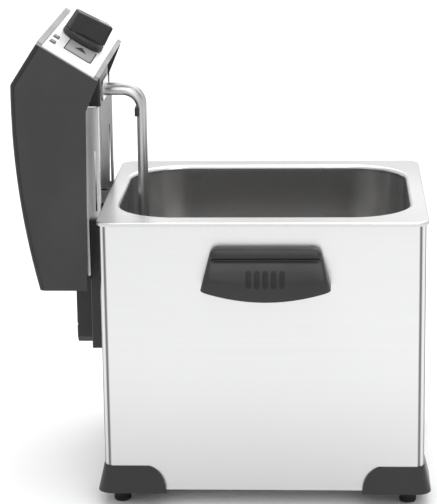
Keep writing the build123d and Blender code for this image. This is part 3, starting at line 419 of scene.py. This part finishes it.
def lathe(bm, profile, place, steps=48, ripple=0.0, ripples=0):
    """Turns (radius, height) pairs round the local Z axis of place; radius 0 at an end closes it."""
    rings = []
    for radius, height in profile:
        if radius == 0:
            continue
        ring = []
        for i in range(steps):
            turn = 2 * pi * i / steps
            reach = radius - ripple * (0.5 - 0.5 * cos(ripples * turn))
            ring.append(bm.verts.new(place @ Vector((reach * cos(turn), reach * sin(turn), height))))
        rings.append(ring)
    bridge(bm, rings)
    if profile[0][0] == 0:
        cap(bm, rings[0], place @ Vector((0, 0, profile[0][1])))
    if profile[-1][0] == 0:
        cap(bm, rings[-1], place @ Vector((0, 0, profile[-1][1])))


def facing(origin, axis, turn=0.0):
    """Placement with its local Z along axis, turned about it by some degrees."""
    aimed = Vector(axis).to_track_quat("Z", "Y").to_matrix().to_4x4()
    return Matrix.Translation(origin) @ aimed @ Matrix.Rotation(radians(turn), 4, "Z")


def softened(cad_name, width, body, segments=2):
    """Copy of a CAD node whose sharp edges are rounded by width, as moulding or pressing leaves them."""
    source = frame["nodes"][cad_name]
    bm = bmesh.new()
    bm.from_mesh(source.data)
    bmesh.ops.remove_doubles(bm, verts=bm.verts, dist=weld_distance)
    bmesh.ops.dissolve_limit(
        bm, angle_limit=flat_angle, use_dissolve_boundaries=False, verts=bm.verts, edges=bm.edges
    )
    piece = piece_from(bm, f"{cad_name}_piece", slot_of[cad_name], body, cad_name)
    rounding = piece.modifiers.new("rounding", "BEVEL")
    rounding.width = width
    rounding.segments = segments
    rounding.limit_method = "ANGLE"
    rounding.angle_limit = bevel_angle
    rounding.harden_normals = True
    rounding.use_clamp_overlap = True


# ---------------------------------------------------------------- pieces that keep their CAD form
head_edges = {
    "head_shell": 0.6 * mm,
    "panel_bezel": 0.35 * mm,
    "control_panel": 0.25 * mm,
    "dial_plate": 0.12 * mm,
    "slide_carriage": 0.9 * mm,
    "slide_hook": 0.25 * mm,
    "head_front_plate": 0.25 * mm,
    "element_block": 0.6 * mm,
    "element_flange": 0.3 * mm,
}
for cad_name, width in head_edges.items():
    softened(cad_name, width, "head")

body_edges = {
    "guide_rail": 0.6 * mm,
    "corner_shoe_front_left": 0.8 * mm,
    "corner_shoe_front_right": 0.8 * mm,
    "corner_shoe_rear_left": 0.8 * mm,
    "corner_shoe_rear_right": 0.8 * mm,
}
for cad_name, width in body_edges.items():
    softened(cad_name, width, "body", 3)

# ---------------------------------------------------------------- carry handles
handle_end_height = 32.9 * mm       # from the top to the low corners
handle_top_share = 0.837            # half width at the top, as a share of that at the low corners
handle_corner = 5.0 * mm
handle_skin = 2.6 * mm
bar_radius = 7.2 * mm
bar_back = 5.5 * mm                 # from the wall to the middle of the bar
bar_flatness = 0.78                 # height of the bar's section as a share of its depth
bar_start = ((0.0, 2.6), (0.35, 1.7), (0.75, 0.4))      # (share of bar_back, mm down) behind the bar
groove = ((11.5, 8.4), (11.0, 9.0), (11.3, 9.7), (12.4, 10.3))      # (mm out, mm down) below the bar
flare_low = 24.5 * mm
flare_steps = 12
sag_start = 11.0 * mm               # rows below this depth hang lower in the middle
low_edge = ((0.0, 4.4), (0.3, 1.2), (0.8, 0.4), (1.8, 0.0))     # mm in from the reach and up from the end
across_shares = (0.92, 0.8, 0.64, 0.48, 0.32, 0.16, 0.0)
handle_boss_x = 30.0 * mm
boss_outline = ((2.0 * mm, 0), (4.4 * mm, 0), (4.5 * mm, 6 * mm), (0, 8 * mm))
boss_down = 11.5 * mm
rib_height = 0.8 * mm               # how far the ribs stand out in the CAD handle
rib_rise = 1.04 * mm                # crown of a rib over the skin, with its foot sunk a little
rib_sink = 0.15 * mm
rib_pitch = 6.8 * mm
rib_half = 2.2 * mm
rib_span = (15.0 * mm, 27.0 * mm)
rib_lean = Vector((0, 0.82, 0.57))  # the ribs rise outwards and up, square to the flare


def handle_profile(reach):
    """(out, down) of a handle's skin from the wall over the rolled bar and the groove to the low edge."""
    points = [(bar_back * share, down * mm) for share, down in bar_start]
    for degrees_round in range(0, 111, 10):
        turn = radians(degrees_round)
        points.append((bar_back + bar_radius * sin(turn), bar_flatness * bar_radius * (1 - cos(turn))))
    points += [(out * mm, down * mm) for out, down in groove]
    start_out, start_down = points[-1]
    for step in range(1, flare_steps + 1):
        share = step / flare_steps
        out = start_out + (reach - start_out) * sin(share * pi / 2) ** 0.9
        points.append((out, start_down + (flare_low - start_down) * share))
    points += [(reach - back * mm, handle_end_height - up * mm) for back, up in low_edge]
    return points


def carry_handle(name, outward):
    """Hollow moulded handle: rolled bar, groove, flared skirt whose low edge sags, and grip ribs."""
    low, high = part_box(name)
    wall = high.y if outward < 0 else low.y
    reach = high.y - low.y - rib_height
    middle = (low.x + high.x) / 2
    half_low = (high.x - low.x) / 2
    sag = high.z - low.z - handle_end_height

    def half_at(down):
        """Half width at this depth: spreading downwards, with rounded upper corners."""
        corner = handle_corner * (1 - sqrt(1 - max(0.0, 1 - down / handle_corner) ** 2))
        spread_share = min(1.0, down / handle_end_height)
        return half_low * (handle_top_share + (1 - handle_top_share) * spread_share) - corner

    def skin(x, out, down):
        """Point of the skin at x from the middle: rows lower down sag more in the middle."""
        half = half_at(down)
        weight = min(1.0, max(0.0, (down - sag_start) / (handle_end_height - sag_start)))
        fall = sag * weight * (3 - 2 * weight) * weight * (1 - (x / half) ** 2)
        return Vector((middle + x, wall + outward * out, high.z - down - fall))

    profile = handle_profile(reach)
    bm = bmesh.new()
    rows = []
    for out, down in profile:
        half = half_at(down if out >= bar_back else 0.0)
        corner = min(handle_corner, out)
        side = [(half, (out - corner) * share) for share in (0.0, 0.35, 0.7)]
        bend = [
            (half - corner * (1 - cos(radians(turn))), out - corner + corner * sin(radians(turn)))
            for turn in range(0, 91, 15)
        ]
        edge = side + bend
        flat = [((half - corner) * share, out) for share in across_shares]
        right = edge + flat
        left = [(-x, depth) for x, depth in reversed(right[:-1])]
        rows.append([bm.verts.new(skin(x, depth, down)) for x, depth in right + left])
    bridge(bm, rows, closed=False)
    for x in (-handle_boss_x, handle_boss_x):
        boss = facing((middle + x, wall + outward * 0.2 * mm, high.z - boss_down), (0, outward, 0))
        lathe(bm, boss_outline, boss, 24)
    bmesh.ops.remove_doubles(bm, verts=bm.verts, dist=2 * weld_distance)
    piece = piece_from(bm, f"{name}_moulding", "dark_plastic", "body", name)
    wall_of = piece.modifiers.new("wall", "SOLIDIFY")
    wall_of.thickness = handle_skin
    wall_of.offset = -1
    wall_of.use_even_offset = False

    ribs = bmesh.new()
    steps = [(out, down) for out, down in profile if rib_span[0] < down < rib_span[1]]
    rise_way = Vector((0, outward * rib_lean.y, rib_lean.z))
    for column in range(-2, 3):
        grid = []
        for row, (out, down) in enumerate(steps):
            share = row / (len(steps) - 1)
            taper = sqrt(max(0.0, 1 - (2 * share - 1) ** 4))
            line = []
            for turn in range(0, 181, 20):
                across = -cos(radians(turn))
                rise = rib_rise * sqrt(sin(radians(turn))) * taper - rib_sink
                point = skin(column * rib_pitch + across * rib_half * (0.55 + 0.45 * taper), out, down)
                line.append(ribs.verts.new(point + rise * rise_way))
            grid.append(line)
        bridge(ribs, grid, closed=False)
    piece_from(ribs, f"{name}_ribs", "rubber", "body")


carry_handle("carry_handle_left", -1)
carry_handle("carry_handle_right", 1)

# ---------------------------------------------------------------- control knob
knob_joint = next(joint for joint in frame["joints"] if joint["name"] == "knob_turn")
knob_angle = 27.0                   # resting angle of the grip across the panel, in degrees
knob_centre = Vector(knob_joint["pos_m"])
knob_axis = Vector(knob_joint["axis"]).normalized()
down_panel = Vector((knob_axis.z, 0, -knob_axis.x))
across_panel = knob_axis.cross(down_panel)
knob_x = down_panel * cos(radians(knob_angle)) + across_panel * sin(radians(knob_angle))
knob_y = knob_axis.cross(knob_x)
knob_place = Matrix.Translation(knob_centre) @ Matrix((knob_x, knob_y, knob_axis)).transposed().to_4x4()
skirt_radius = 19.0 * mm
skirt_low = 0.8 * mm
flute_depth = 0.3 * mm
flute_count = 36
grip_half_length = 18.4 * mm
grip_half_width = 8.6 * mm
grip_taper = (0.6 * mm, 2.2 * mm)   # how much the grip loses in length and width on its way up
grip_waist = 0.16
grip_steps = 64
grip_low = 6.6 * mm
knob_top = 23.0 * mm


def rounded(share, power):
    """Sign-keeping power, for superellipse outlines."""
    return abs(share) ** power * (1 if share >= 0 else -1)


def control_knob():
    """Fluted skirt with a waisted finger grip across it."""
    bm = bmesh.new()
    skirt = [
        (0, skirt_low),
        (skirt_radius - 0.6 * mm, skirt_low),
        (skirt_radius, 1.3 * mm),
        (skirt_radius - 0.1 * mm, 4.4 * mm),
        (skirt_radius - 0.5 * mm, 5.6 * mm),
        (skirt_radius - 1.4 * mm, 6.4 * mm),
        (skirt_radius - 3.0 * mm, 6.8 * mm),
        (0, 7.6 * mm),
    ]
    lathe(bm, skirt, knob_place, 4 * flute_count, flute_depth, flute_count)
    levels = [(share, 1.0) for share in (0, 0.12, 0.25, 0.4, 0.55, 0.7, 0.82, 0.9)]
    levels += [(0.96, 0.993), (0.985, 0.975), (0.996, 0.94), (1.0, 0.86)]
    rings = []
    for share, shrink in levels:
        half_length = (grip_half_length - grip_taper[0] * share) * shrink
        half_width = (grip_half_width - grip_taper[1] * share**0.6) * shrink
        ring = []
        for i in range(grip_steps):
            turn = 2 * pi * i / grip_steps
            x = half_length * rounded(cos(turn), 0.28)
            waist = 1 - grip_waist * (1 - (x / half_length) ** 2)
            y = half_width * waist * rounded(sin(turn), 0.4)
            ring.append(bm.verts.new(knob_place @ Vector((x, y, grip_low + (knob_top - grip_low) * share))))
        rings.append(ring)
    bridge(bm, rings)
    cap(bm, rings[-1], knob_place @ Vector((0, 0, knob_top)))
    piece_from(bm, "knob_moulding", "dark_plastic", "knob", "control_knob")


control_knob()

# ---------------------------------------------------------------- rubber feet
foot_bore = 4.0 * mm                # room for the screw's head, from below
foot_bore_height = 6.0 * mm


def rubber_foot(cad_name):
    """Round foot with a rounded sole, a groove round its side and a bore up into it."""
    low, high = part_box(cad_name)
    radius = (high.x - low.x) / 2
    top = high.z - 0.2 * mm
    place = Matrix.Translation(((low.x + high.x) / 2, (low.y + high.y) / 2, 0))
    outline = [
        (0, foot_bore_height),
        (foot_bore - 0.1 * mm, foot_bore_height),
        (foot_bore, 0.7 * mm),
        (foot_bore + 0.6 * mm, 0),
        (radius - 2.0 * mm, 0),
        (radius - 0.9 * mm, 0.4 * mm),
        (radius - 0.3 * mm, 1.3 * mm),
        (radius - 0.2 * mm, 3.4 * mm),
        (radius - 0.7 * mm, 3.8 * mm),
        (radius - 0.7 * mm, 4.5 * mm),
        (radius - 0.1 * mm, 4.9 * mm),
        (radius, top - 1.0 * mm),
        (radius - 0.3 * mm, top),
        (0, top),
    ]
    bm = bmesh.new()
    lathe(bm, outline, place, 40)
    piece_from(bm, f"{cad_name}_moulding", "rubber", "body", cad_name)


for cad_name in [name for name in frame["nodes"] if name.startswith("rubber_foot")]:
    rubber_foot(cad_name)

# ---------------------------------------------------------------- screw heads


def pan_head(radius, height):
    """Mesh of one pan head with a cross recess, its seat at the origin and its top along +Z."""
    head = bmesh.new()
    rim = 0.35
    dome = [(0, 0), (radius, 0), (radius, height * rim)]
    for turn in range(15, 90, 15):
        rise = rim + (1 - rim) * sin(radians(turn))
        dome.append((radius * cos(radians(turn)), height * rise))
    lathe(head, dome + [(0, height)], Matrix.Identity(4), 36)
    bmesh.ops.recalc_face_normals(head, faces=head.faces)
    cross = bmesh.new()
    for turn in (0, 90):
        blade = Matrix.Rotation(radians(turn), 4, "Z") @ Matrix.Translation((0, 0, height))
        size = Matrix.Diagonal((radius * 1.15, radius * 0.26, height * 1.1, 1))
        bmesh.ops.create_cube(cross, size=1, matrix=blade @ size)
    solids = []
    for part_name, bm in (("pan", head), ("recess", cross)):
        mesh = bpy.data.meshes.new(part_name)
        bm.to_mesh(mesh)
        bm.free()
        solid = bpy.data.objects.new(part_name, mesh)
        bpy.context.scene.collection.objects.link(solid)
        solids.append(solid)
    cut = solids[0].modifiers.new("recess", "BOOLEAN")
    cut.operation = "DIFFERENCE"
    cut.solver = "EXACT"
    cut.use_self = True
    cut.object = solids[1]
    depsgraph = bpy.context.evaluated_depsgraph_get()
    result = bpy.data.meshes.new_from_object(solids[0].evaluated_get(depsgraph))
    for solid in solids:
        bpy.data.objects.remove(solid)
    return result


def screw_heads(name, spots, axis, radius, height, body, *nodes):
    """The same screw head at each spot, facing along axis, each turned a different way."""
    head = pan_head(radius, height)
    bm = bmesh.new()
    for index, spot in enumerate(spots):
        first = len(bm.verts)
        bm.from_mesh(head)
        bm.verts.ensure_lookup_table()
        bmesh.ops.transform(bm, matrix=facing(spot, axis, 23 + 37 * index), verts=bm.verts[first:])
    bpy.data.meshes.remove(head)
    piece_from(bm, name, "screw_steel", body, *nodes)


low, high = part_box("head_screws")
screw_radius = 3.4 * mm
screw_height = 2.0 * mm
plate_face = high.x - screw_height
plate_spots = [
    (plate_face, y, z)
    for y in (low.y + screw_radius, high.y - screw_radius)
    for z in (low.z + screw_radius, high.z - screw_radius)
]
screw_heads("head_screw_tops", plate_spots, (1, 0, 0), screw_radius, screw_height, "head", "head_screws")

# ---------------------------------------------------------------- cord gland
gland_bore = 3.6 * mm
gland_shank = 9.0 * mm              # part of the gland inside the head
shank_end = gland_shank - 0.2 * mm
groove_pitch = 1.4 * mm
groove_depth = 0.8 * mm


def cord_gland():
    """Flanged bush whose nose has grooves round it, open all the way through."""
    low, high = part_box("cord_gland")
    centre = Vector((high.x - gland_shank, (low.y + high.y) / 2, (low.z + high.z) / 2))
    length = centre.x - low.x
    outline = [(gland_bore, -shank_end), (4.7 * mm, -shank_end), (4.8 * mm, 0), (8.8 * mm, 0)]
    outline += [(9.0 * mm, 0.3 * mm), (9.0 * mm, 2.3 * mm), (8.4 * mm, 2.9 * mm), (6.6 * mm, 3.0 * mm)]
    for index in range(4):
        start = 3.2 * mm + index * groove_pitch
        land = (6.4 - 0.25 * index) * mm
        floor_radius = land - groove_depth
        outline += [(land, start), (land, start + 0.7 * mm)]
        outline += [(floor_radius, start + 0.8 * mm), (floor_radius, start + 1.3 * mm)]
    outline += [(5.2 * mm, length - 0.1 * mm), (4.4 * mm, length), (gland_bore, length - 0.4 * mm)]
    outline += [outline[0]]
    bm = bmesh.new()
    lathe(bm, outline, facing(centre, (-1, 0, 0)), 48)
    bmesh.ops.remove_doubles(bm, verts=bm.verts, dist=weld_distance)
    piece_from(bm, "cord_gland_moulding", "dark_plastic", "head", "cord_gland")


cord_gland()

# ---------------------------------------------------------------- reset button
reset_edge = 1.1 * mm


def reset_cap():
    """Round button with a rounded edge and a dished face."""
    low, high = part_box("reset_button")
    centre = Vector((high.x, (low.y + high.y) / 2, (low.z + high.z) / 2))
    length = high.x - low.x
    radius = (high.y - low.y) / 2
    outline = [(0, 0), (radius, 0), (radius, length - reset_edge)]
    for turn in (20, 40, 60, 80):
        across = radius - reset_edge * (1 - cos(radians(turn)))
        outline.append((across, length - reset_edge * (1 - sin(radians(turn)))))
    outline += [(radius * 0.6, length - 0.15 * mm), (radius * 0.45, length - 0.5 * mm)]
    outline += [(0, length - 0.6 * mm)]
    bm = bmesh.new()
    lathe(bm, outline, facing(centre, (-1, 0, 0)), 40)
    piece_from(bm, "reset_cap", "reset_red", "reset", "reset_button")


reset_cap()

# ---------------------------------------------------------------- floor and surroundings
floor_half = 12.0


def floor_paper():
    """Pale paper floor with a hardly visible mottle."""
    made, tree, shader = shader_of("floor_paper")
    mottle = noise(tree, 0.5, (1, 1, 1), 2)
    tree.links.new(blend_color(tree, mottle, grey(0.86), grey(0.9)), shader.inputs["Base Color"])
    shader.inputs["Roughness"].default_value = 0.9
    shader.inputs["Specular IOR Level"].default_value = 0.1
    return made


floor_mesh = bpy.data.meshes.new("floor")
floor_mesh.from_pydata(
    [(floor_half * x, floor_half * y, 0) for x, y in ((-1, -1), (1, -1), (1, 1), (-1, 1))],
    [],
    [(0, 1, 2, 3)],
)
floor = bpy.data.objects.new("floor", floor_mesh)
floor.data.materials.append(floor_paper())
bpy.context.scene.collection.objects.link(floor)

world = bpy.data.worlds.new("studio")
world.use_nodes = True
bpy.context.scene.world = world
sky = world.node_tree
background = sky.nodes["Background"]
background.inputs["Strength"].default_value = 0.97
direction = node(sky, "ShaderNodeTexCoord", {})
axes = node(sky, "ShaderNodeSeparateXYZ", {"Vector": direction.outputs["Generated"]})
rise = spread(sky, axes.outputs["Z"], 0.0, 1.0, -0.05, 0.5)
sky.links.new(blend_color(sky, rise, grey(0.95), grey(1.0)), background.inputs["Color"])
